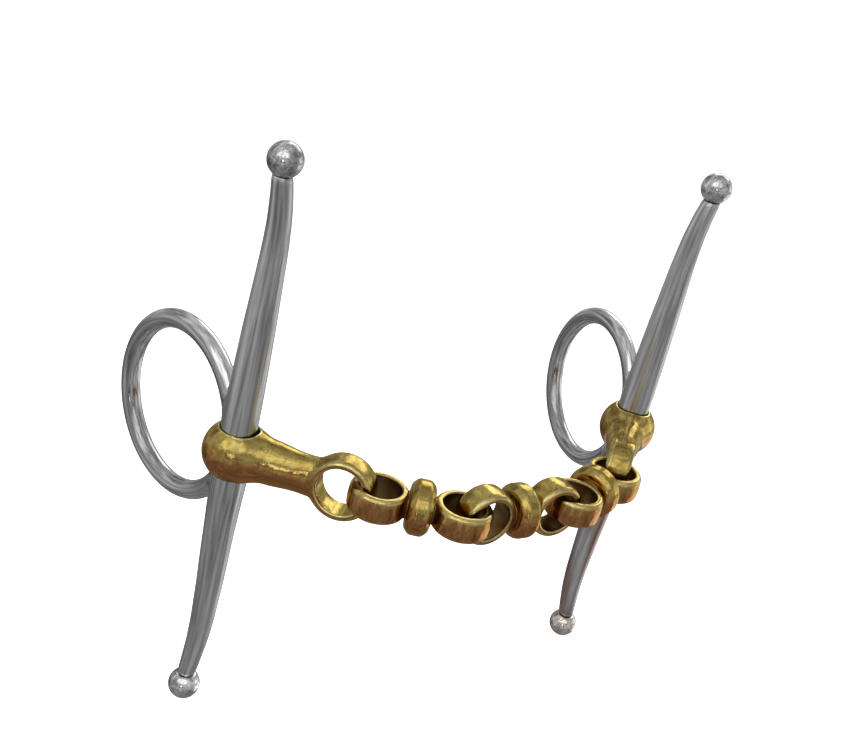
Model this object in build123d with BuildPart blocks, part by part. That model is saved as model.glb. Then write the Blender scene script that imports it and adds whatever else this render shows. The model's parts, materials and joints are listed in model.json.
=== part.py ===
from build123d import *
from math import cos, radians, sin
import os

# Full-cheek snaffle bit with a three-link chain mouthpiece. Millimetres and degrees.
# +Z runs up the cheek bars, +X crosses the mouth from the left bar to the right bar, and +Y is the side
# that the cheek rings are on. The origin is the centre of the left cheek ring.
# Headings and azimuths are measured anticlockwise from +X, seen from above.

os.makedirs("parts", exist_ok=True)

# ---------------------------------------------------------------- cheek bars
bar_diameter = 9.2  # straight journal that the butt turns on
journal_half_length = 9.0
upper_ball_height = 76.4  # mouthpiece plane to the centre of the upper ball
lower_ball_depth = 73.8  # mouthpiece plane to the centre of the lower ball
ball_diameter = 8.6
ball_seat = 3.4  # ball centre to the flat face that it is welded on by
upper_tip_lean = 2.2  # how far each tip stands outward of the journal's axis
lower_tip_lean = 1.4
upper_tip_diameter = 5.0
lower_tip_diameter = 4.8

# Distance from the mouthpiece plane, diameter, and lean of the bar at each station of its taper
upper_taper = [
    (journal_half_length, bar_diameter, 0.0),
    (16.0, 9.0, 0.0),
    (24.0, 8.6, 0.0),
    (33.0, 8.1, 0.0),
    (42.0, 7.4, 0.0),
    (51.0, 6.7, 0.0),
    (60.0, 6.0, 0.3),
    (67.0, 5.5, 1.1),
    (upper_ball_height - ball_seat, upper_tip_diameter, upper_tip_lean),
]
lower_taper = [
    (journal_half_length, bar_diameter, 0.0),
    (16.0, 8.7, 0.0),
    (24.0, 8.1, -0.1),
    (33.0, 7.6, -0.3),
    (42.0, 7.0, -0.5),
    (51.0, 6.4, -0.5),
    (58.0, 5.9, -0.2),
    (65.0, 5.3, 0.6),
    (lower_ball_depth - ball_seat, lower_tip_diameter, lower_tip_lean),
]

# --------------------------------------------------------------- cheek rings
ring_radius = 22.6  # centreline of the bent bar
ring_bar_diameter = 5.2
ring_reach = 24.2  # bar axis to ring centre
ring_foot_angle = 14.0  # where the bent bar stops inside the cheek bar, from the line of centres
ring_butt_clearance = 0.4
left_ring_azimuth = 105.0
right_ring_azimuth = 82.0

# --------------------------------------------------------------------- butts
bulb_radius = 8.2
bore_clearance = 0.07  # radial, between the butt's bore and the journal
butt_reach = 28.8  # bore axis to eye centre
eye_outer_radius = 8.4
eye_inner_radius = 6.3
# Distance from the bore axis, half height and half width of the shank between the bulb and the eye
shank_sections = [
    (4.0, 6.3, 6.0),
    (10.0, 5.9, 5.4),
    (17.0, 5.3, 4.4),
    (22.5, 5.7, 3.4),
    (25.0, 5.9, 3.0),
]

# --------------------------------------------------------------------- links
link_pitch = 21.3  # ring centre to ring centre within one link
link_outer_radius = 7.6
link_inner_radius = 5.5
band_width = 7.0  # every link ring and butt eye is a band of this width
band_edge_radius = 0.9
bead_radius = 7.15
bead_width = 6.2
bead_chamfer = 1.5
neck_radius = 3.2
neck_half_length = 4.2

# ------------------------------------------------- the mouthpiece, left to right
left_butt_heading = -43.0
left_link_heading = -31.0
middle_link_heading = 1.5
right_link_heading = 23.5
right_butt_heading = 46.5  # from the eye towards the right bar
# How far each horizontal ring's centre stands from the upright wall that passes through it
left_eye_slack = 1.7
left_link_slack = 0.2
right_link_slack = 1.2
right_eye_slack = 0.8

eye_wall_radius = (eye_outer_radius + eye_inner_radius) / 2
link_wall_radius = (link_outer_radius + link_inner_radius) / 2


def ahead(point, heading, distance):
    """The point a distance along a heading, in the mouthpiece plane."""
    x, y = point
    return x + distance * cos(radians(heading)), y + distance * sin(radians(heading))


def place_at(point, heading):
    """A frame in the mouthpiece plane whose +X runs along the heading."""
    return Location((point[0], point[1], 0), (0, 0, heading))


def local(place, plane):
    """A plane of a piece's own frame, as it stands in the whole bit."""
    return Plane(place * plane.location)


left_axis = ahead((0.0, 0.0), left_ring_azimuth, -ring_reach)
left_eye = ahead(left_axis, left_butt_heading, butt_reach)
left_eye_joint = ahead(left_eye, left_butt_heading, eye_wall_radius)
left_link_start = ahead(left_eye_joint, left_link_heading, left_eye_slack)
left_link_end = ahead(left_link_start, left_link_heading, link_pitch)
left_link_joint = ahead(left_link_end, left_link_heading, left_link_slack)
middle_link_start = ahead(left_link_joint, middle_link_heading, link_wall_radius)
middle_link_end = ahead(middle_link_start, middle_link_heading, link_pitch)
right_link_joint = ahead(middle_link_end, middle_link_heading, link_wall_radius)
right_link_start = ahead(right_link_joint, right_link_heading, right_link_slack)
right_link_end = ahead(right_link_start, right_link_heading, link_pitch)
right_eye_joint = ahead(right_link_end, right_link_heading, right_eye_slack)
right_eye = ahead(right_eye_joint, right_butt_heading, eye_wall_radius)
right_axis = ahead(right_eye, right_butt_heading, butt_reach)


def make_bar(place, outward):
    """A cheek bar: a straight journal with a tapered arm above and below, whose tips lean outward."""
    with BuildPart() as bar:
        with BuildSketch(local(place, Plane.XY)):
            Circle(bar_diameter / 2)
        extrude(amount=journal_half_length, both=True)
        for taper, side in ((upper_taper, 1), (lower_taper, -1)):
            for distance, diameter, lean in taper:
                with BuildSketch(local(place, Plane.XY.offset(side * distance))):
                    with Locations((0, outward * lean)):
                        Circle(diameter / 2)
            loft()
    return bar


def make_ball(place, height, lean):
    """A ball with a flat seat where it is welded on the end of an arm."""
    with BuildPart() as ball:
        with Locations(place * Location((0, lean, height))):
            Sphere(ball_diameter / 2)
        if height > 0:
            split(bisect_by=Plane.XY.offset(height - ball_seat), keep=Keep.TOP)
        else:
            split(bisect_by=Plane.XY.offset(height + ball_seat), keep=Keep.BOTTOM)
    return ball


def make_ring(place, bar):
    """A cheek ring: round bar bent to a C, with both feet shaped to the cheek bar they are welded to."""
    with BuildPart() as ring:
        with BuildLine(local(place, Plane.XZ)) as path:
            CenterArc((ring_reach, 0), ring_radius, 180 + ring_foot_angle, 360 - 2 * ring_foot_angle)
        with BuildSketch(Plane(path.line @ 0, z_dir=path.line % 0)):
            Circle(ring_bar_diameter / 2)
        sweep()
        add(bar.part, mode=Mode.SUBTRACT)
        with Locations(place):
            Sphere(bulb_radius + ring_butt_clearance, mode=Mode.SUBTRACT)
    return ring


def make_butt(place):
    """A butt: a bulb bored for the cheek bar, a shank along +X, and an eye in the upright plane."""
    with BuildPart() as butt:
        for distance, half_height, half_width in shank_sections:
            with BuildSketch(local(place, Plane.YZ.offset(distance))):
                Ellipse(half_width, half_height)
        loft()
        with BuildSketch(local(place, Plane.XZ)):
            with Locations((butt_reach, 0)):
                Circle(eye_inner_radius)
        extrude(amount=band_width, both=True, mode=Mode.SUBTRACT)
        with BuildSketch(local(place, Plane.XY)):
            with Locations((butt_reach + eye_wall_radius, 0)):
                RectangleRounded(eye_outer_radius - eye_inner_radius, band_width, band_edge_radius)
        eye_plane = local(place * Location((butt_reach, 0, 0)), Plane.XZ)
        revolve(axis=Axis(eye_plane.origin, eye_plane.z_dir))
        with Locations(place):
            Sphere(bulb_radius)
        with BuildSketch(local(place, Plane.XY)):
            Circle(bar_diameter / 2 + bore_clearance)
        extrude(amount=bulb_radius, both=True, mode=Mode.SUBTRACT)
    return butt


def make_link(place):
    """A link cast in one: two rings in the local XY plane, joined by a bead on the local X axis."""
    with BuildPart() as link:
        with BuildSketch(local(place, Plane.XY)):
            with Locations((-link_pitch / 2, 0), (link_pitch / 2, 0)):
                Circle(link_outer_radius)
                Circle(link_inner_radius, mode=Mode.SUBTRACT)
        extrude(amount=band_width / 2, both=True)
        fillet(link.edges().filter_by(GeomType.CIRCLE), band_edge_radius)
        with BuildSketch(local(place, Plane.YZ)):
            Circle(neck_radius)
        extrude(amount=neck_half_length, both=True)
        with BuildSketch(local(place, Plane.XY)) as profile:
            with Locations((0, bead_radius / 2)):
                Rectangle(bead_width, bead_radius)
            chamfer(profile.vertices().group_by(Axis.Y)[-1], bead_chamfer)
        middle_plane = local(place, Plane.XY)
        revolve(axis=Axis(middle_plane.origin, middle_plane.x_dir))
    return link


def make_cheek(side, axis, ring_azimuth, outward):
    """The bar, both balls and the ring of one cheek, each written as its own part."""
    place = place_at(axis, ring_azimuth)
    bar = make_bar(place, outward)
    pieces = {
        "cheek_bar": bar,
        "cheek_ring": make_ring(place, bar),
        "upper_ball": make_ball(place, upper_ball_height, outward * upper_tip_lean),
        "lower_ball": make_ball(place, -lower_ball_depth, outward * lower_tip_lean),
    }
    for name, piece in pieces.items():
        piece.part.label = f"{side}_{name}"
        export_step(piece.part, f"parts/{side}_{name}.step")


make_cheek("left", left_axis, left_ring_azimuth, 1)
make_cheek("right", right_axis, right_ring_azimuth, -1)

left_butt = make_butt(place_at(left_axis, left_butt_heading))
left_butt.part.label = "left_butt"
export_step(left_butt.part, "parts/left_butt.step")

right_butt = make_butt(place_at(right_axis, right_butt_heading + 180))
right_butt.part.label = "right_butt"
export_step(right_butt.part, "parts/right_butt.step")

# The left and right links lie flat, and the middle link is rolled a quarter turn about its length
quarter_roll = Location((0, 0, 0), (90, 0, 0))

left_link = make_link(place_at(ahead(left_link_start, left_link_heading, link_pitch / 2), left_link_heading))
left_link.part.label = "left_link"
export_step(left_link.part, "parts/left_link.step")

middle_centre = ahead(middle_link_start, middle_link_heading, link_pitch / 2)
middle_link = make_link(place_at(middle_centre, middle_link_heading) * quarter_roll)
middle_link.part.label = "middle_link"
export_step(middle_link.part, "parts/middle_link.step")

right_link = make_link(place_at(ahead(right_link_start, right_link_heading, link_pitch / 2), right_link_heading))
right_link.part.label = "right_link"
export_step(right_link.part, "parts/right_link.step")
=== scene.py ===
"""Looks of the full-cheek chain-mouth snaffle bit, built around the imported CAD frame.

Shapes are worked out in millimetres in each piece's own frame, where +X runs along the piece and +Z is up,
and are placed and turned to metres when the mesh is made.
"""

import json
import math

import bpy
import numpy as np
from mathutils import Matrix, Vector


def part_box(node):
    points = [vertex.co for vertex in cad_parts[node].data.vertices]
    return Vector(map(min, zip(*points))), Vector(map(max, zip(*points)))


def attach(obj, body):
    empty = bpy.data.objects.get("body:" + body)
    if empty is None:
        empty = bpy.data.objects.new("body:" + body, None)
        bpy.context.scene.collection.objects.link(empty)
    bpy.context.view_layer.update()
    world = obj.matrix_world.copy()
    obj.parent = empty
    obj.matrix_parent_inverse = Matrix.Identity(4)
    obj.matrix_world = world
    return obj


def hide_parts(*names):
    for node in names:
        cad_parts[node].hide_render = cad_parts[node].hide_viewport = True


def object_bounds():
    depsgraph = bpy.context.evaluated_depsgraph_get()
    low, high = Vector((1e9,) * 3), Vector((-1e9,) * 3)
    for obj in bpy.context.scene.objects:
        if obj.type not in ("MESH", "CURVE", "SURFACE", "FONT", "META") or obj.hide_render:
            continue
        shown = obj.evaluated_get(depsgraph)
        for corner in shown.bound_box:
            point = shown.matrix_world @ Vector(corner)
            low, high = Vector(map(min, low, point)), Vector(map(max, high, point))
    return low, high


MM = 0.001

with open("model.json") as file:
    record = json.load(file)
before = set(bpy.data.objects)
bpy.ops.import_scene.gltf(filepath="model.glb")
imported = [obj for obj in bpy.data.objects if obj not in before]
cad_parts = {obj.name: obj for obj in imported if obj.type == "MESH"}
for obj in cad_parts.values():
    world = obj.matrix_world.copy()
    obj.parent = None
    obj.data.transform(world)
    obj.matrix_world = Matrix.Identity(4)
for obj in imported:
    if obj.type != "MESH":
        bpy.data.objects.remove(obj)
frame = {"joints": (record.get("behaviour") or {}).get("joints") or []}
cad_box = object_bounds()

# ------------------------------------------------------------------ sizes, in millimetres and degrees
# Cheeks. Heights are above the mouthpiece's plane
BAR_RADIUS = 4.6  # where the butt turns on it
UPPER_BALL = 76.4
LOWER_BALL = -73.8
BALL_RADIUS = 4.3
BALL_SEAT = 3.4  # ball centre to the flat that meets the arm
# Height, diameter and lean of the bar
BAR_PROFILE = [
    (-70.4, 4.8, 1.4), (-65.0, 5.3, 0.6), (-58.0, 5.9, -0.2), (-51.0, 6.4, -0.5), (-42.0, 7.0, -0.5),
    (-33.0, 7.6, -0.3), (-24.0, 8.1, -0.1), (-16.0, 8.7, 0.0), (-9.0, 9.2, 0.0), (9.0, 9.2, 0.0),
    (16.0, 9.0, 0.0), (24.0, 8.6, 0.0), (33.0, 8.1, 0.0), (42.0, 7.4, 0.0), (51.0, 6.7, 0.0),
    (60.0, 6.0, 0.3), (67.0, 5.5, 1.1), (73.0, 5.0, 2.2),
]
RING_RADIUS = 22.6
RING_TUBE = 2.6
RING_REACH = 24.2
WELD_FILLET = 1.5
WELD_REACH = 2.2  # how far the fillet may stand off the ring's own round bar
WELD_DEPTH = 1.2  # how deep the feet run into the cheek bar
WELD_INSET = 0.03  # how far the surface is drawn in, which ends the fillet inside the cheek bar
FOOT_INNER_EDGE = 0.1
BUTT_GAP = 0.4  # between the feet and the butt's bulb
FOOT_OUTER_EDGE = 0.3
LEFT_RING_AZIMUTH = 105.0
RIGHT_RING_AZIMUTH = 82.0

# Walls of the butts' eyes and of the links' rings
BAND_HALF = 3.5
SHOULDER = 1.2
INNER_EDGE = 0.45
CROWN = 0.35  # how much further the middle of the wall stands out than its edges

# Butts
BULB_RADIUS = 8.2
BULB_FILLET = 3.2
BORE_RADIUS = 4.67
BORE_EDGE = 0.7
WEAR_START = 4.0  # distance from the butt's middle where the bore starts to be worn oval
WEAR_SLOPE = 0.18
EYE_REACH = 28.8
EYE_OUTER = 8.4
EYE_INNER = 6.3
EYE_FILLET = 1.3
EYE_HOLE_MARGIN = 0.2  # how much wider the shank is cut away than the eye's hole
EYE_HOLE_EDGE = 0.8
# Distance along the butt, half height and half width of its shank
SHANK = [
    (0.0, 5.0, 4.8), (4.0, 6.0, 5.7), (10.0, 5.9, 5.4),
    (17.0, 5.3, 4.4), (22.5, 5.7, 3.4), (27.0, 6.0, 3.0),
]
SHANK_END = 2.0  # the shank stops this far short of the eye's centre, inside the hole

# Links
LINK_PITCH = 21.3
LINK_OUTER = 7.6
LINK_INNER = 5.5
BEAD_RADIUS = 7.15
BEAD_HALF = 3.1
BEAD_CHAMFER = 1.5
BEAD_CORNER = 0.3
BEAD_CHAMFER_EDGE = 0.5
BEAD_FILLET = 0.5
NECK_RADIUS = 3.2
NECK_HALF = 4.4
NECK_FILLET = 0.9
NECK_HOLE_MARGIN = 0.3  # how much wider the neck is cut away than the link's holes
NECK_HOLE_EDGE = 0.4
HOLLOW_SHADE_REACH = 0.35  # how far outside a hole's wall the painted shade of its inside ends
HOLLOW_SHADE_FADE = 0.3

LEFT_BUTT_HEADING = -43.0
LEFT_LINK_HEADING = -31.0
MIDDLE_LINK_HEADING = 1.5
RIGHT_LINK_HEADING = 23.5
RIGHT_BUTT_HEADING = 46.5


# ------------------------------------------------------------------ places, from the frame
def middle_of(node):
    """The middle of a CAD node's box at rest, in metres."""
    low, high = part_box(node)
    return (low + high) / 2


def joint_point(name):
    """A joint's own point, in metres."""
    found = [j for j in frame["joints"] if j["name"] == name]
    return Vector(found[0]["pos_m"])


LEFT_AXIS = joint_point("left_cheek_hinge")
RIGHT_AXIS = joint_point("right_cheek_hinge")


def place(point, heading, roll=0.0):
    """The matrix from a piece's own frame, in millimetres, to the row frame, in metres."""
    turn = Matrix.Rotation(math.radians(heading), 4, "Z") @ Matrix.Rotation(math.radians(roll), 4, "X")
    return Matrix.Translation(point) @ turn @ Matrix.Scale(MM, 4)


# ------------------------------------------------------------------ distance fields
# A field is the distance to a solid's surface, in millimetres, and is below zero inside the solid.


def length(*parts):
    """The length of a vector with these components."""
    return np.sqrt(sum(p * p for p in parts))


def blend(a, b, k):
    """Union of two solids with a fillet of about k."""
    h = np.clip(0.5 + 0.5 * (b - a) / k, 0, 1)
    return b * (1 - h) + a * h - k * h * (1 - h)


def carve(a, b, k):
    """Solid a with solid b taken out of it, and the edge rounded by about k."""
    return -blend(-a, b, k)


def rounded_bar(u, v, half_u, half_v, r):
    """A rectangle with rounded corners, in a plane with coordinates u and v."""
    qu = np.abs(u) - (half_u - r)
    qv = np.abs(v) - (half_v - r)
    return length(np.maximum(qu, 0), np.maximum(qv, 0)) + np.minimum(np.maximum(qu, qv), 0) - r


def curve(table, column, x):
    """A smooth curve without overshoot through one column of a table, against its first column."""
    xs = np.array([row[0] for row in table], float)
    ys = np.array([row[column] for row in table], float)
    step = np.diff(xs)
    slope = np.diff(ys) / step
    m = np.zeros_like(ys)
    m[0] = slope[0]
    m[-1] = slope[-1]
    both = slope[:-1] * slope[1:] > 0
    w1 = 2 * step[1:] + step[:-1]
    w2 = step[1:] + 2 * step[:-1]
    inner = np.zeros(len(ys) - 2)
    inner[both] = ((w1 + w2)[both]) / (w1[both] / slope[:-1][both] + w2[both] / slope[1:][both])
    m[1:-1] = inner
    x = np.clip(x, xs[0], xs[-1])
    i = np.clip(np.searchsorted(xs, x) - 1, 0, len(step) - 1)
    h = step[i]
    t = (x - xs[i]) / h
    a = (1 + 2 * t) * (1 - t) ** 2
    b = t * (1 - t) ** 2
    c = t * t * (3 - 2 * t)
    d = t * t * (t - 1)
    return a * ys[i] + b * h * m[i] + c * ys[i + 1] + d * h * m[i + 1]


def band(outward, across, thickness, half_width):
    """Section of a ring's wall: crowned outside with broad rounded shoulders, and crisp edges inside."""
    outward = outward + CROWN * (across / half_width) ** 2 * np.clip(2 * outward / thickness, 0, 1)
    flat = rounded_bar(outward, across, thickness / 2, half_width, INNER_EDGE)
    past_wall = outward - (thickness / 2 - SHOULDER)
    past_edge = np.abs(across) - (half_width - SHOULDER)
    shoulder = length(np.maximum(past_wall, 0), np.maximum(past_edge, 0)) - SHOULDER
    return np.where((past_wall > 0) & (past_edge > 0), np.maximum(flat, shoulder), flat)


def butt_field(x, y, z):
    """A butt: bored bulb at the origin, shank along +X, and an eye in the upright plane."""
    bulb = length(x, y, z) - BULB_RADIUS
    half_height = curve(SHANK, 1, x)
    half_width = curve(SHANK, 2, x)
    shank = (length(y / half_width, z / half_height) - 1) * np.minimum(half_width, half_height)
    shank = np.maximum(shank, np.maximum(-x, x - (EYE_REACH - SHANK_END)))
    solid = blend(bulb, shank, BULB_FILLET)
    wall = (EYE_OUTER + EYE_INNER) / 2
    eye = band(length(x - EYE_REACH, z) - wall, y, EYE_OUTER - EYE_INNER, BAND_HALF)
    hole = length(x - EYE_REACH, z) - (EYE_INNER + EYE_HOLE_MARGIN)
    solid = carve(solid, hole, EYE_HOLE_EDGE)
    solid = blend(solid, eye, EYE_FILLET)
    wear = np.maximum(np.abs(z) - WEAR_START, 0) * WEAR_SLOPE
    return carve(solid, length(x - np.clip(x, 0, wear), y) - BORE_RADIUS, BORE_EDGE)


def link_field(x, y, z):
    """A link: two rings in its own XY plane, joined by a bead on its X axis."""
    ends = np.abs(x)
    radius = length(ends - LINK_PITCH / 2, y)
    wall = (LINK_OUTER + LINK_INNER) / 2
    ring = band(radius - wall, z, LINK_OUTER - LINK_INNER, BAND_HALF)
    spread = length(y, z)
    neck = np.maximum(spread - NECK_RADIUS, ends - NECK_HALF)
    neck = carve(neck, radius - (LINK_INNER + NECK_HOLE_MARGIN), NECK_HOLE_EDGE)
    bead = rounded_bar(ends, spread, BEAD_HALF, BEAD_RADIUS, BEAD_CORNER)
    cut = (BEAD_HALF + BEAD_RADIUS - BEAD_CHAMFER - ends - spread) / math.sqrt(2)
    bead = carve(bead, cut, BEAD_CHAMFER_EDGE)
    return blend(blend(ring, neck, NECK_FILLET), bead, BEAD_FILLET)


def ring_field(x, y, z):
    """A cheek ring with its two welded feet, cut to the bar, which stands on the origin."""
    tube = length(length(x - RING_REACH, z) - RING_RADIUS, y) - RING_TUBE
    bar = length(x, y) - curve(BAR_PROFILE, 1, z) / 2
    solid = blend(tube, bar, WELD_FILLET) + WELD_INSET
    solid = np.maximum(solid, tube - WELD_REACH)
    solid = carve(solid, bar + WELD_DEPTH, FOOT_INNER_EDGE)
    return carve(solid, length(x, y, z) - (BULB_RADIUS + BUTT_GAP), FOOT_OUTER_EDGE)


# ------------------------------------------------------------------ meshes
# Sides of the cubes that the steel rings, and the butts and links, are meshed with
RING_CELL = 0.34
CAST_CELL = 0.23


def skin(field, low, high, cell):
    """Points and quads of the surface where a field is zero, from a grid of cubes between two corners.

    Each cube that the surface crosses gives one point, which is then moved onto the surface.
    """
    axes = [np.arange(a, b + cell, cell) for a, b in zip(low, high)]
    grid = np.meshgrid(*axes, indexing="ij")
    value = field(*grid)
    inside = value < 0
    shape = value.shape
    cells = tuple(n - 1 for n in shape)
    count = np.zeros(cells)
    total = np.zeros(cells + (3,))
    corners = [(i, j, k) for i in (0, 1) for j in (0, 1) for k in (0, 1)]

    def at(array, corner):
        i, j, k = corner
        return array[i:i + cells[0], j:j + cells[1], k:k + cells[2]]

    for a in corners:
        for axis in range(3):
            if a[axis]:
                continue
            b = tuple(c + (1 if n == axis else 0) for n, c in enumerate(a))
            va, vb = at(value, a), at(value, b)
            crossed = at(inside, a) != at(inside, b)
            t = np.where(crossed, va / np.where(crossed, va - vb, 1), 0)
            offset = np.zeros(cells + (3,))
            for n in range(3):
                offset[..., n] = a[n]
            offset[..., axis] += t
            total += offset * crossed[..., None]
            count += crossed
    used = count > 0
    index = -np.ones(cells, int)
    index[used] = np.arange(used.sum())
    start = np.stack(np.nonzero(used), 1)
    points = (start + total[used] / count[used][:, None]) * cell + np.array(low)

    quads = []
    for axis in range(3):
        u, v = [n for n in range(3) if n != axis]
        first = [slice(None)] * 3
        second = [slice(None)] * 3
        first[axis] = slice(0, -1)
        second[axis] = slice(1, None)
        flip = inside[tuple(first)] != inside[tuple(second)]
        where = np.stack(np.nonzero(flip), 1)
        keep = np.ones(len(where), bool)
        for n in (u, v):
            keep &= (where[:, n] > 0) & (where[:, n] < shape[n] - 1)
        where = where[keep]
        ring = []
        for du, dv in ((0, 0), (1, 0), (1, 1), (0, 1)):
            spot = where.copy()
            spot[:, u] -= du
            spot[:, v] -= dv
            ring.append(index[spot[:, 0], spot[:, 1], spot[:, 2]])
        quad = np.stack(ring, 1)
        turned = inside[where[:, 0], where[:, 1], where[:, 2]]
        if axis == 1:
            turned = ~turned
        quad[turned] = quad[turned][:, ::-1]
        quads.append(quad)
    quads = np.concatenate(quads)

    nudge = 0.02
    passes = 4
    for _ in range(passes):
        x, y, z = points.T
        here = field(x, y, z)
        slope = np.stack([
            field(x + nudge, y, z) - field(x - nudge, y, z),
            field(x, y + nudge, z) - field(x, y - nudge, z),
            field(x, y, z + nudge) - field(x, y, z - nudge),
        ], 1) / (2 * nudge)
        size = np.maximum((slope ** 2).sum(1), 0.2)
        move = slope * (here / size)[:, None]
        far = np.maximum(np.linalg.norm(move, axis=1) / (0.5 * cell), 1)
        points = points - move / far[:, None]
    return points, quads


def sharpness(field, points):
    """How sharply the surface turns, per millimetre: above zero on edges and below zero in creases."""
    reach = 0.15
    x, y, z = points.T
    around = (field(x + reach, y, z) + field(x - reach, y, z)
              + field(x, y + reach, z) + field(x, y - reach, z)
              + field(x, y, z + reach) + field(x, y, z - reach))
    return (around - 6 * field(x, y, z)) / reach ** 2


def make_object(name, points, faces, matrix, grain=None, marks=None):
    """A smooth mesh object whose points are given in its own millimetre frame.

    The materials read grain, a position that their patterns follow, and marks, one number per point.
    """
    mesh = bpy.data.meshes.new(name)
    to_row = np.array(matrix)
    placed = points @ to_row[:3, :3].T + to_row[:3, 3]
    mesh.from_pydata(placed.tolist(), [], faces.tolist() if hasattr(faces, "tolist") else faces)
    mesh.update()
    mesh.shade_smooth()
    lay = mesh.attributes.new("grain", "FLOAT_VECTOR", "POINT")
    lay.data.foreach_set("vector", np.asarray(points if grain is None else grain, np.float32).ravel())
    for mark, values in (marks or {}).items():
        layer = mesh.attributes.new(mark, "FLOAT", "POINT")
        layer.data.foreach_set("value", np.asarray(values, np.float32))
    obj = bpy.data.objects.new(name, mesh)
    bpy.context.scene.collection.objects.link(obj)
    return obj


def lathe(profile, centre, around):
    """Points, faces and grain of a closed round loft.

    profile is (z, radius) from bottom to top, and centre gives the shift along Y at each height.
    """
    angles = np.linspace(0, 2 * np.pi, around, endpoint=False)
    z = np.array([p[0] for p in profile])
    r = np.array([p[1] for p in profile])
    shift = centre(z)
    x = r[:, None] * np.cos(angles)
    y = r[:, None] * np.sin(angles) + shift[:, None]
    zz = np.repeat(z[:, None], around, 1)
    points = np.stack([x.ravel(), y.ravel(), zz.ravel()], 1)
    run = np.concatenate([[0], np.cumsum(np.hypot(np.diff(z), np.diff(r)))])
    grain = np.stack([x.ravel(), (y - shift[:, None]).ravel(), np.repeat(run, around)], 1)
    rows = len(profile)
    faces = []
    for i in range(rows - 1):
        for j in range(around):
            k = (j + 1) % around
            faces.append((i * around + j, i * around + k, (i + 1) * around + k, (i + 1) * around + j))
    faces.append(tuple(reversed(range(around))))
    faces.append(tuple(range((rows - 1) * around, rows * around)))
    return points, faces, grain


# ------------------------------------------------------------------ materials
class Nodes:
    """A short way to build a node tree."""

    def __init__(self, tree):
        self.tree = tree

    def add(self, kind, inputs=None, **settings):
        """A new node, with its settings and the values or links of its inputs."""
        node = self.tree.nodes.new(kind)
        for key, value in settings.items():
            setattr(node, key, value)
        for key, value in (inputs or {}).items():
            self.set(node.inputs[key], value)
        return node

    def set(self, socket, value):
        """Links a socket to an output, or sets its constant."""
        if isinstance(value, bpy.types.NodeSocket):
            self.tree.links.new(value, socket)
        else:
            socket.default_value = value

    def math(self, operation, a, b=0.0, c=0.0):
        node = self.add("ShaderNodeMath", operation=operation)
        for socket, value in zip(node.inputs, (a, b, c)):
            self.set(socket, value)
        return node.outputs[0]

    def total(self, *terms):
        """The sum of weighted terms, each given as (value, weight)."""
        value = None
        for source, weight in terms:
            part = source if weight == 1.0 else self.math("MULTIPLY", source, weight)
            value = part if value is None else self.math("ADD", value, part)
        return value

    def mix(self, factor, a, b):
        """Colour a where the factor is 0 and colour b where it is 1."""
        node = self.add("ShaderNodeMix", {"Factor": factor, 6: a, 7: b}, data_type="RGBA")
        return node.outputs[2]

    def remap(self, value, low, high, to_low, to_high):
        """A value's range from low to high, stretched to another range and held at its ends."""
        node = self.add("ShaderNodeMapRange", {
            "Value": value, "From Min": low, "From Max": high, "To Min": to_low, "To Max": to_high})
        return node.outputs[0]

    def noise(self, vector, scale, detail=2.0, roughness=0.5):
        node = self.add("ShaderNodeTexNoise", {
            "Vector": vector, "Scale": scale, "Detail": detail, "Roughness": roughness})
        return node.outputs["Fac"]

    def stretched(self, vector, scale):
        """A position scaled along each axis, which stretches the patterns that read it."""
        node = self.add("ShaderNodeMapping", {"Vector": vector, "Scale": scale})
        return node.outputs[0]


def new_material(name):
    """A metal with its node builder, its shader and the position that its patterns follow."""
    material = bpy.data.materials.new(name)
    material.use_nodes = True
    tree = material.node_tree
    tree.nodes.clear()
    nodes = Nodes(tree)
    out = nodes.add("ShaderNodeOutputMaterial")
    shader = nodes.add("ShaderNodeBsdfPrincipled")
    shader.inputs["Metallic"].default_value = 1.0
    tree.links.new(shader.outputs[0], out.inputs["Surface"])
    grain = nodes.add("ShaderNodeAttribute", attribute_name="grain").outputs["Vector"]
    return material, nodes, shader, grain


# Dark and bright streaks painted into the steel's colour along its grain, as painted reflection
DARK_STREAK_REFLECTION = 0.56  # times the steel's tone
BRIGHT_STREAK_REFLECTION = 1.42
# Painted shade in the steel's seams and creases
SEAM_SHADE_DARK = (0.06, 0.055, 0.05, 1)
# Painted reflection of the brass on the right cheek's lower arm and ball
BRASS_REFLECTION_BROWN = (0.44, 0.25, 0.19, 1)
BRASS_REFLECTION_FADE = 20.0  # millimetres over which the painted brown reflection of the brass comes in

DEEP_GOLD = (0.49, 0.345, 0.090, 1)
PALE_GOLD = (0.60, 0.47, 0.145, 1)
# Brown patches: tarnish, and on the right butt painted dark reflections of the links
TARNISH_AND_DARK_REFLECTION_BROWN = (0.28, 0.16, 0.055, 1)
OLIVE = (0.30, 0.22, 0.06, 1)
# Painted reflection of warm brown surroundings on the brass's undersides
UNDERSIDE_REFLECTION_RED = (0.53, 0.215, 0.08, 1)
# Pale worn edges, which also serve as painted rim highlights
WORN_EDGE_HIGHLIGHT_GOLD = (0.93, 0.81, 0.39, 1)
# Painted shade in the hollows, holes and creases
HOLLOW_SHADE_BROWN = (0.20, 0.135, 0.065, 1)


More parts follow.
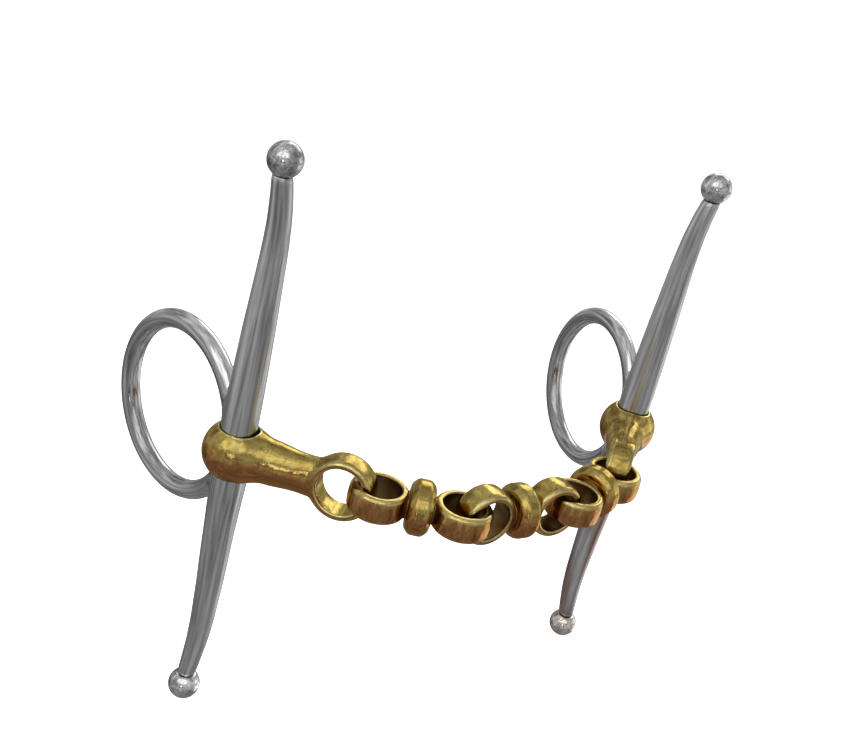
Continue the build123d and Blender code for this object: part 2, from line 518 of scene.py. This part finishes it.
def steel_material(name, streak, tone, rough, brass_reflection_below=None):
    """Polished stainless steel, with light and dark reflection streaks painted into its colour along the
    grain, and painted shade in the seams and creases.

    streak is the grain's scale: low along the polishing marks, high across them. Below
    brass_reflection_below, in millimetres up the bar from its lower tip, the steel carries a faint painted
    brown reflection of the brass.
    """
    material, nodes, shader, grain = new_material(name)
    lines = nodes.noise(nodes.stretched(grain, streak), 1.0, 4.0, 0.6)
    wide = nodes.noise(nodes.stretched(grain, [s * 0.28 for s in streak]), 1.0, 2.0, 0.5)
    cloud = nodes.noise(grain, 0.35, 3.0, 0.55)
    # Painted reflection: the streak noise makes the colour lighter and darker along the grain, standing
    # for reflected streaks, while the bump draws the real polishing marks
    light = nodes.remap(nodes.total((lines, 0.55), (wide, 0.45)), 0.41, 0.61, 0.0, 1.0)
    dark = [c * DARK_STREAK_REFLECTION for c in tone] + [1.0]
    bright = [min(1.0, c * BRIGHT_STREAK_REFLECTION) for c in tone] + [1.0]
    polished = nodes.mix(light, dark, bright)
    # Painted reflection of the brass: brown patches low down on the bar
    if brass_reflection_below is not None:
        run = nodes.add("ShaderNodeSeparateXYZ", {0: grain}).outputs[2]
        low_down = nodes.remap(run, brass_reflection_below, brass_reflection_below - BRASS_REFLECTION_FADE, 0.0, 1.0)
        patch = nodes.noise(nodes.stretched(grain, (0.25, 0.25, 0.04)), 1.0)
        patch = nodes.remap(patch, 0.36, 0.56, 0.0, 0.75)
        polished = nodes.mix(nodes.math("MULTIPLY", low_down, patch), polished, BRASS_REFLECTION_BROWN)
    # Painted shade: the colour darkens where ambient occlusion finds seams and creases, such as under the
    # balls and at the ring's feet
    seam_shade = nodes.add("ShaderNodeAmbientOcclusion", {"Distance": 0.002}, samples=6).outputs["AO"]
    seam_shade = nodes.remap(seam_shade, 0.62, 0.25, 0.0, 0.85)
    nodes.set(shader.inputs["Base Color"], nodes.mix(seam_shade, polished, SEAM_SHADE_DARK))
    smear = nodes.total((lines, 0.10), (cloud, 0.07))
    nodes.set(shader.inputs["Roughness"], nodes.math("ADD", smear, rough))
    height = nodes.total((lines, 0.6), (wide, 1.0))
    bump = nodes.add("ShaderNodeBump", {"Height": height, "Strength": 0.5, "Distance": 0.00004})
    nodes.set(shader.inputs["Normal"], bump.outputs[0])
    return material


def brass_material(name, tarnish_and_reflection):
    """Polished yellow copper alloy, with a painted reddish reflection on its undersides, painted shade in
    the hollows and creases, and pale worn edges that also serve as painted rim highlights.

    tarnish_and_reflection, from 0 to 1, is how strong its brown patches are: tarnish, and where strong,
    painted dark reflections of the links.
    """
    material, nodes, shader, grain = new_material(name)
    shader.inputs["Specular Tint"].default_value = (0.98, 0.89, 0.64, 1)
    blotch = nodes.noise(grain, 0.22, 3.0, 0.6)
    skin_noise = nodes.noise(grain, 0.9, 3.0, 0.55)
    scratch = nodes.noise(nodes.stretched(grain, (0.7, 5.0, 5.0)), 1.0, 3.0, 0.6)
    toned = nodes.mix(nodes.remap(blotch, 0.38, 0.62, 0.0, 1.0), DEEP_GOLD, PALE_GOLD)
    # Brown patches: tarnish, and where strong painted dark reflections
    patch = nodes.noise(grain, 0.34, 4.0, 0.6)
    toned = nodes.mix(nodes.remap(patch, 0.46, 0.62, 0.0, tarnish_and_reflection), toned, TARNISH_AND_DARK_REFLECTION_BROWN)
    toned = nodes.mix(nodes.remap(skin_noise, 0.42, 0.68, 0.0, 0.32), toned, OLIVE)

    # Painted reflection: surfaces that face down turn reddish brown, as if mirroring warm brown
    # surroundings
    normal = nodes.add("ShaderNodeNewGeometry").outputs["Normal"]
    up = nodes.add("ShaderNodeSeparateXYZ", {0: normal}).outputs[2]
    streaks = nodes.noise(nodes.stretched(grain, (1.3, 1.3, 0.15)), 1.0, 3.0, 0.6)
    uneven = nodes.math("SUBTRACT", nodes.total((blotch, 0.6), (streaks, 1.0)), 0.8)
    underside_reflection = nodes.remap(nodes.math("ADD", up, uneven), 0.38, -0.10, 0.0, 0.92)
    toned = nodes.mix(underside_reflection, toned, UNDERSIDE_REFLECTION_RED)

    # Pale worn edges, which also act as painted highlights along the rims
    edge = nodes.add("ShaderNodeAttribute", attribute_name="edge").outputs["Fac"]
    worn_edge_highlight = nodes.remap(edge, 0.7, 1.9, 0.0, 1.0)
    worn_edge_highlight = nodes.math("MULTIPLY", worn_edge_highlight, nodes.remap(skin_noise, 0.3, 0.6, 0.45, 1.0))
    toned = nodes.mix(worn_edge_highlight, toned, WORN_EDGE_HIGHLIGHT_GOLD)

    # Painted shade: darker where ambient occlusion finds corners, on the marked hole walls, and in creases
    corner = nodes.add("ShaderNodeAmbientOcclusion", {"Distance": 0.005}, samples=6).outputs["AO"]
    painted_shade = nodes.remap(corner, 0.75, 0.15, 0.0, 0.85)
    hollow_shade = nodes.add("ShaderNodeAttribute", attribute_name="hollow_shade").outputs["Fac"]
    painted_shade = nodes.math("MAXIMUM", painted_shade, nodes.math("MULTIPLY", hollow_shade, 0.9))
    painted_shade = nodes.math("MAXIMUM", painted_shade, nodes.remap(edge, -0.3, -1.6, 0.0, 0.8))
    nodes.set(shader.inputs["Base Color"], nodes.mix(painted_shade, toned, HOLLOW_SHADE_BROWN))

    rough = nodes.total((skin_noise, 0.07), (scratch, 0.05), (painted_shade, 0.25))
    nodes.set(shader.inputs["Roughness"], nodes.math("ADD", rough, 0.02))
    dimples = nodes.noise(grain, 0.38, 1.0, 0.4)
    height = nodes.total((skin_noise, 0.8), (scratch, 0.15), (dimples, 1.0))
    bump = nodes.add("ShaderNodeBump", {"Height": height, "Strength": 0.6, "Distance": 0.00014})
    nodes.set(shader.inputs["Normal"], bump.outputs[0])
    return material


STEEL_TONE = (0.62, 0.62, 0.63)
BALL_TONE = (0.66, 0.66, 0.67)
# Ball tone with a painted warm reflection of the brass
BRASS_REFLECTION_BALL_TONE = (0.66, 0.60, 0.54)
ALONG_BAR = (1.2, 1.2, 0.02)
ALONG_RING = (0.03, 1.2, 1.2)
BALL_GRAIN = (0.5, 0.5, 0.4)
BAR_STEEL = steel_material("bar_steel", ALONG_BAR, STEEL_TONE, 0.22)
RING_STEEL = steel_material("ring_steel", ALONG_RING, STEEL_TONE, 0.06)
BRASS_REFLECTING_BAR_STEEL = steel_material("bar_steel_brass_reflection", ALONG_BAR, STEEL_TONE, 0.22, brass_reflection_below=62.0)
BALL_STEEL = steel_material("ball_steel", BALL_GRAIN, BALL_TONE, 0.03)
BRASS_REFLECTING_BALL_STEEL = steel_material("ball_steel_brass_reflection", BALL_GRAIN, BRASS_REFLECTION_BALL_TONE, 0.03)
BRASS = brass_material("mouth_brass", 0.18)
TARNISHED_AND_REFLECTING_BRASS = brass_material("mouth_brass_tarnish_and_reflection", 0.85)


def finish_piece(obj, body, node, material):
    """Gives a piece its material and body, and hides the CAD node that it stands for."""
    obj.data.materials.append(material)
    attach(obj, body)
    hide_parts(node)


# ------------------------------------------------------------------ cheeks
def bar_rows():
    """Heights and radii of the bar from tip to tip, with a groove beside each ball."""
    low = BAR_PROFILE[0][0]
    high = BAR_PROFILE[-1][0]
    z = np.linspace(low, high, 260)
    r = curve(BAR_PROFILE, 1, z) / 2
    # Distance from the tip, and how much thinner than the arm the groove under a ball is there
    groove = [(0.0, 0.9), (0.18, 0.8), (0.28, 0.35), (0.45, 0.1)]
    bottom = [(low + along, r[0] - cut) for along, cut in groove]
    top = [(high - along, r[-1] - cut) for along, cut in reversed(groove)]
    return bottom + list(zip(z[3:-3], r[3:-3])) + top


def ball_rows(centre, up):
    """Heights and radii of a ball with a flat seat."""
    seat = math.acos(BALL_SEAT / BALL_RADIUS)
    angles = np.linspace(math.pi - seat, 0.02, 40)
    rows = [(centre + up * BALL_RADIUS * math.cos(a), BALL_RADIUS * math.sin(a)) for a in angles]
    return rows if up > 0 else rows[::-1]


def ring_grain(points):
    """Coordinates along the arc and across the tube, so that polishing marks, and the reflection streaks
    painted along them, run along the ring.
    """
    x, y, z = points.T
    radius = length(x - RING_REACH, z)
    arc = np.arctan2(z, x - RING_REACH) * RING_RADIUS
    return np.stack([arc, radius - RING_RADIUS, y], 1)


def build_cheek(side, axis, azimuth, outward, bar_material, lower_ball_material):
    """The bar, balls and ring of one cheek. outward is the sign of the way that the tips lean."""
    matrix = place(axis, azimuth)
    body = f"{side}_cheek"

    def lean(z):
        return outward * curve(BAR_PROFILE, 2, z)

    points, faces, grain = lathe(bar_rows(), lean, 96)
    bar = make_object(f"{side}_bar", points, faces, matrix, grain)
    finish_piece(bar, body, f"{side}_cheek_bar", bar_material)

    for name, height, up, tip, ball_material in (
            ("upper_ball", UPPER_BALL, 1, BAR_PROFILE[-1], BALL_STEEL),
            ("lower_ball", LOWER_BALL, -1, BAR_PROFILE[0], lower_ball_material)):
        shift = outward * tip[2]
        points, faces, _ = lathe(ball_rows(height, up), lambda z: np.full(len(z), shift), 72)
        ball = make_object(f"{side}_{name}_polished", points, faces, matrix)
        finish_piece(ball, body, f"{side}_{name}", ball_material)

    margin = RING_TUBE + 1.2
    low = (-BAR_RADIUS, -margin, -RING_RADIUS - margin)
    high = (RING_REACH + RING_RADIUS + margin, margin, RING_RADIUS + margin)
    points, faces = skin(ring_field, low, high, RING_CELL)
    ring = make_object(f"{side}_ring_welded", points, faces, matrix, ring_grain(points))
    finish_piece(ring, body, f"{side}_cheek_ring", RING_STEEL)


build_cheek("left", LEFT_AXIS, LEFT_RING_AZIMUTH, 1, BAR_STEEL, BALL_STEEL)
build_cheek("right", RIGHT_AXIS, RIGHT_RING_AZIMUTH, -1, BRASS_REFLECTING_BAR_STEEL, BRASS_REFLECTING_BALL_STEEL)

# ------------------------------------------------------------------ mouthpiece
BUTT_LOW = (-9.2, -9.2, -9.2)
BUTT_HIGH = (38.4, 9.2, 9.2)
points, faces = skin(butt_field, BUTT_LOW, BUTT_HIGH, CAST_CELL)
marks = {"edge": sharpness(butt_field, points)}
for side, axis, heading, brass in (
        ("left", LEFT_AXIS, LEFT_BUTT_HEADING, BRASS),
        ("right", RIGHT_AXIS, RIGHT_BUTT_HEADING + 180, TARNISHED_AND_REFLECTING_BRASS)):
    butt = make_object(f"{side}_butt_cast", points, faces, place(axis, heading), marks=marks)
    finish_piece(butt, f"{side}_butt", f"{side}_butt", brass)

LINK_LOW = (-19.2, -8.4, -8.4)
LINK_HIGH = (19.2, 8.4, 8.4)
points, faces = skin(link_field, LINK_LOW, LINK_HIGH, CAST_CELL)
# The walls of the links' holes are marked for painted shade, which makes them dark
from_hole_centre = length(np.abs(points[:, 0]) - LINK_PITCH / 2, points[:, 1])
hollow_shade = np.clip((LINK_INNER + HOLLOW_SHADE_REACH - from_hole_centre) / HOLLOW_SHADE_FADE, 0, 1)
marks = {"edge": sharpness(link_field, points), "hollow_shade": hollow_shade}
for name, heading, roll in (
        ("left_link", LEFT_LINK_HEADING, 0),
        ("middle_link", MIDDLE_LINK_HEADING, 90),
        ("right_link", RIGHT_LINK_HEADING, 0)):
    link = make_object(f"{name}_cast", points, faces, place(middle_of(name), heading, roll), marks=marks)
    finish_piece(link, name, name, BRASS)

# ------------------------------------------------------------------ floor, light and camera
FLOOR_DROP = 0.045
FLOOR_RADIUS = 6.0
FLOOR_WHITE = (0.94, 0.94, 0.94, 1)
floor_at = (0.07, 0, cad_box[0][2] - FLOOR_DROP)
bpy.ops.mesh.primitive_circle_add(vertices=96, radius=FLOOR_RADIUS, fill_type="NGON", location=floor_at)
floor = bpy.context.object
floor.name = "floor"
floor_material = bpy.data.materials.new("floor")
floor_material.use_nodes = True
floor_shader = floor_material.node_tree.nodes["Principled BSDF"]
floor_shader.inputs["Base Color"].default_value = FLOOR_WHITE
floor_shader.inputs["Roughness"].default_value = 0.9
floor_shader.inputs["Specular IOR Level"].default_value = 0.1
floor_shader.inputs["Emission Color"].default_value = (1, 1, 1, 1)
floor_shader.inputs["Emission Strength"].default_value = 0.1
floor.data.materials.append(floor_material)
floor.visible_glossy = False

CAMERA_AT = Vector((-0.12148, -0.27341, 0.16209))
CAMERA_HEADING = 54.8
CAMERA_DOWN = 24.71
CAMERA_ROLL = 14.81
LENS = 55.05


def camera_matrix():
    """The camera's place: its heading, how far it looks down, and how far it is rolled."""
    turn = (Matrix.Rotation(math.radians(CAMERA_HEADING - 90), 4, "Z")
            @ Matrix.Rotation(math.radians(90 - CAMERA_DOWN), 4, "X")
            @ Matrix.Rotation(math.radians(CAMERA_ROLL), 4, "Z"))
    return Matrix.Translation(CAMERA_AT) @ turn


camera = bpy.data.objects.new("camera", bpy.data.cameras.new("camera"))
camera.data.lens = LENS
camera.data.sensor_width = 36.0
camera.data.clip_start = 0.005
camera.matrix_world = camera_matrix()
bpy.context.scene.collection.objects.link(camera)
bpy.context.scene.camera = camera


# Height of a direction, from -1 straight down to 1 straight up, and how bright the room is there
ROOM = [
    (-1.0, 0.22), (-0.50, 0.25), (-0.30, 0.36), (0.0, 0.42), (0.25, 0.50), (0.70, 0.54), (1.0, 0.46),
]
# Panels and dark patches that the metal mirrors: degrees right of the camera's heading, degrees up, half
# width and half height, width of the soft edge, all in degrees, and added brightness
PANELS = [
    (-155, 42, 27, 18, 4, 0.70),
    (160, 41, 15, 15, 4, 0.56),
    (-143, 23, 13, 7, 4, 0.45),
    (-176, 69, 30, 2, 2, 0.75),
    (18, 30, 25, 11, 6, 1.55),
    (62, 4, 16, 12, 8, 0.60),
    (58, -26, 24, 12, 8, 0.85),
    (-176, 0, 16, 5, 5, -0.28),
    (-176, 5, 3.2, 3.2, 2.5, 3.00),
    (-50, 22, 26, 16, 10, -0.24),
    (-125, -9, 12, 3, 4, 0.25),
    (95, 40, 14, 16, 8, -0.20),
    (-50, -24, 34, 12, 8, -0.12),
    (-108, -24, 16, 4, 4, 0.22),
    (-85, -4, 14, 4, 5, 0.16),
    (20, 62, 40, 4, 4, -0.25),
    (-100, 60, 12, 10, 5, 0.25),
]


def build_world():
    """The grey room with soft panels that the metal mirrors; the camera and the floor see plain white."""
    world = bpy.data.worlds.new("studio")
    bpy.context.scene.world = world
    world.use_nodes = True
    tree = world.node_tree
    tree.nodes.clear()
    nodes = Nodes(tree)
    way = nodes.add("ShaderNodeTexCoord").outputs["Generated"]
    up = nodes.add("ShaderNodeSeparateXYZ", {0: way}).outputs[2]
    ramp = nodes.add("ShaderNodeValToRGB", {"Fac": nodes.remap(up, -1.0, 1.0, 0.0, 1.0)})
    ramp.color_ramp.interpolation = "EASE"
    while len(ramp.color_ramp.elements) < len(ROOM):
        ramp.color_ramp.elements.new(0.5)
    for element, (height, value) in zip(ramp.color_ramp.elements, ROOM):
        element.position = (height + 1) / 2
        element.color = (value, value, value, 1)
    total = ramp.outputs[0]
    heading = math.radians(CAMERA_HEADING)

    def along(direction):
        node = nodes.add("ShaderNodeVectorMath", {0: way, 1: direction}, operation="DOT_PRODUCT")
        return node.outputs["Value"]

    ahead = along((math.cos(heading), math.sin(heading), 0))
    aside = along((math.sin(heading), -math.cos(heading), 0))
    turn = nodes.math("DEGREES", nodes.math("ARCTAN2", aside, ahead))
    climb = nodes.math("DEGREES", nodes.math("ARCSINE", up))
    for right, rise, half_width, half_height, soft, value in PANELS:
        across = nodes.math("WRAP", nodes.math("SUBTRACT", turn, right), 180.0, -180.0)
        across = nodes.math("ABSOLUTE", across)
        over = nodes.math("ABSOLUTE", nodes.math("SUBTRACT", climb, rise))
        wide = nodes.remap(across, half_width + soft / 2, half_width - soft / 2, 0.0, 1.0)
        high = nodes.remap(over, half_height + soft / 2, half_height - soft / 2, 0.0, value)
        total = nodes.math("MULTIPLY_ADD", wide, high, total)
    clutter = nodes.remap(nodes.noise(way, 6.0, 4.0, 0.65), 0.34, 0.66, 0.40, 1.60)
    room = nodes.math("MAXIMUM", nodes.math("MULTIPLY", total, clutter), 0.02)
    path = nodes.add("ShaderNodeLightPath")
    plain = nodes.math("MAXIMUM", path.outputs["Is Camera Ray"], path.outputs["Is Diffuse Ray"])
    colour = nodes.mix(plain, room, (1.0, 1.0, 1.0, 1))
    background = nodes.add("ShaderNodeBackground", {"Color": colour, "Strength": 1.0})
    out = nodes.add("ShaderNodeOutputWorld")
    tree.links.new(background.outputs[0], out.inputs["Surface"])


build_world()


def area_light(name, at, towards, size, power):
    """A soft round light, which the metal does not mirror."""
    light = bpy.data.lights.new(name, "AREA")
    light.shape = "DISK"
    light.size = size
    light.energy = power
    obj = bpy.data.objects.new(name, light)
    obj.location = at
    obj.rotation_euler = (Vector(towards) - Vector(at)).to_track_quat("-Z", "Y").to_euler()
    obj.visible_glossy = False
    bpy.context.scene.collection.objects.link(obj)


area_light("overhead", (0.05, 0.05, 0.75), (0.07, -0.02, 0), 0.5, 6.0)
area_light("key", (-0.35, -0.15, 0.55), (0.07, -0.03, 0), 0.16, 2.0)

view = bpy.context.scene.view_settings
view.view_transform = "Standard"
view.look = "None"
view.exposure = 0.0
